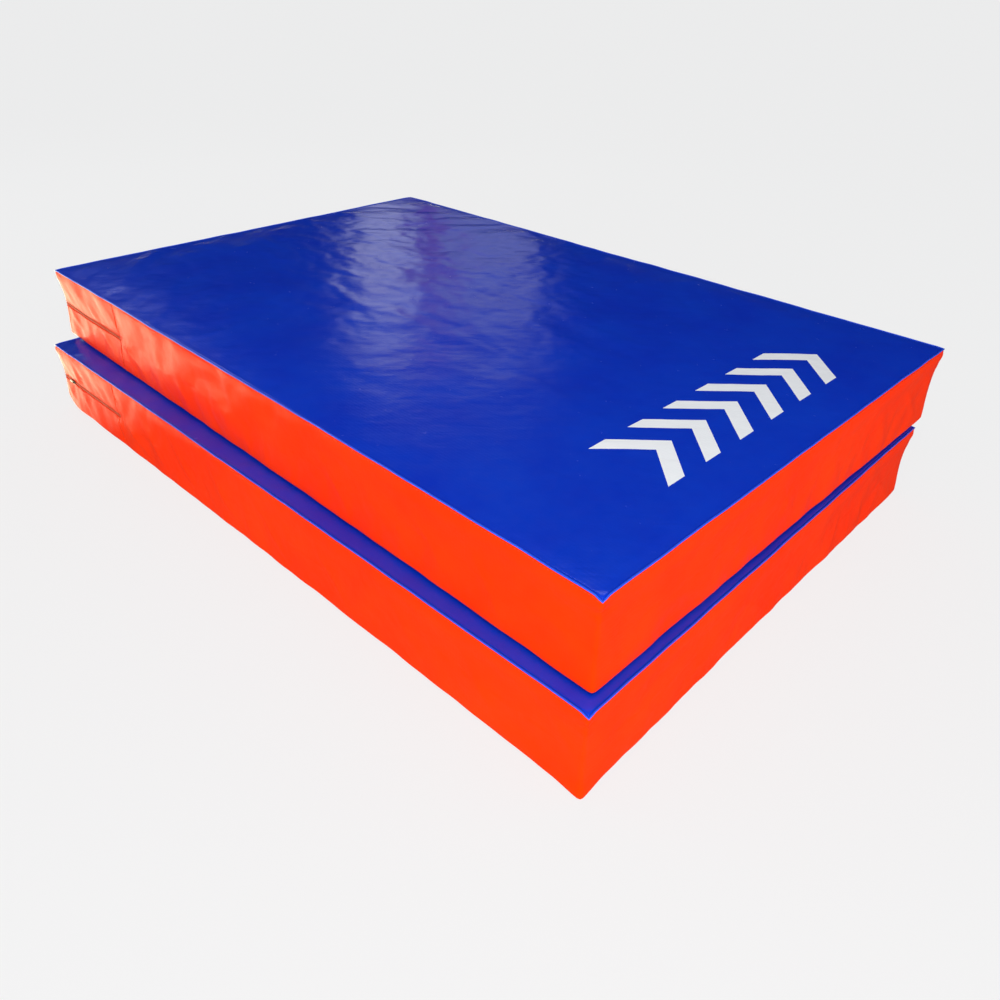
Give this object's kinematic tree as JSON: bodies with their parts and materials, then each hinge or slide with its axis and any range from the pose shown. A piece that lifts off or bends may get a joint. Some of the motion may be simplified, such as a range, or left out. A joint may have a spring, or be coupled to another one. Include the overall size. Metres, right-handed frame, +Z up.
{
  "type": "crash landing mat",
  "caption": "Thick foam landing mats with glossy zipped covers, stacked loosely so that the upper mat lifts off the lower one.",
  "frame": {"origin": "on the floor, under the middle of the stack's bounding box", "axes": "+X along the mats from the zip end to the plain end, +Y from the front long side to the back one, +Z up"},
  "size_m": [3.0348, 2.101, 0.6003],
  "materials": {
    "blue_panel": "glossy PVC-coated polyester, royal blue",
    "blue_welt": "folded PVC-coated polyester, bright blue",
    "orange_wall": "satin PVC-coated polyester, orange-red",
    "zip_tape": "woven polyester tape",
    "zip_teeth": "nylon coil",
    "zip_metal": "dark nickel",
    "soft_foam": "open-cell polyurethane foam",
    "firm_foam": "bonded firmer foam"
  },
  "bodies": {
    "lower_mat": {"lower_foam_core": "soft_foam", "lower_foam_topper": "firm_foam", "lower_cover_base": "blue_panel", "lower_cover_top": "blue_panel", "lower_base_welt": "blue_welt", "lower_top_welt": "blue_welt", "lower_side_strip": "orange_wall", "lower_zip_upper_band": "orange_wall", "lower_zip_lower_band": "orange_wall", "lower_zip_upper_tape": "zip_tape", "lower_zip_lower_tape": "zip_tape", "lower_zip_upper_teeth": "zip_teeth", "lower_zip_lower_teeth": "zip_teeth", "lower_zip_front_stop": "zip_metal", "lower_zip_back_stop": "zip_metal"},
    "upper_mat": {"upper_foam_core": "soft_foam", "upper_foam_topper": "firm_foam", "upper_cover_base": "blue_panel", "upper_cover_top": "blue_panel", "upper_base_welt": "blue_welt", "upper_top_welt": "blue_welt", "upper_side_strip": "orange_wall", "upper_zip_upper_band": "orange_wall", "upper_zip_lower_band": "orange_wall", "upper_zip_upper_tape": "zip_tape", "upper_zip_lower_tape": "zip_tape", "upper_zip_upper_teeth": "zip_teeth", "upper_zip_lower_teeth": "zip_teeth", "upper_zip_front_stop": "zip_metal", "upper_zip_back_stop": "zip_metal"},
    "lower_slider": {"lower_zip_slider": "zip_metal"},
    "lower_pull": {"lower_zip_pull": "zip_metal"},
    "upper_slider": {"upper_zip_slider": "zip_metal"},
    "upper_pull": {"upper_zip_pull": "zip_metal"}
  },
  "joints": [
    {"name": "upper_lift", "type": "slide", "parent": "lower_mat", "child": "upper_mat", "axis": [0, 0, 1], "range_m": [0, 0.5]},
    {"name": "lower_slider_travel", "type": "slide", "parent": "lower_mat", "child": "lower_slider", "axis": [1, 0, 0], "range_m": [-0.06, 0.4]},
    {"name": "lower_pull_swing", "type": "hinge", "parent": "lower_slider", "child": "lower_pull", "pos_m": [-1.36265, -1.04718, 0.15], "axis": [0, 0, 1], "range_deg": [0, 180]},
    {"name": "upper_slider_travel", "type": "slide", "parent": "upper_mat", "child": "upper_slider", "axis": [0.0152, 0.9999, 0], "range_m": [-1.6, 0.2]},
    {"name": "upper_pull_swing", "type": "hinge", "parent": "upper_slider", "child": "upper_pull", "pos_m": [-1.49014, 0.75079, 0.4503], "axis": [0, 0, 1], "range_deg": [0, 180]}
  ]
}
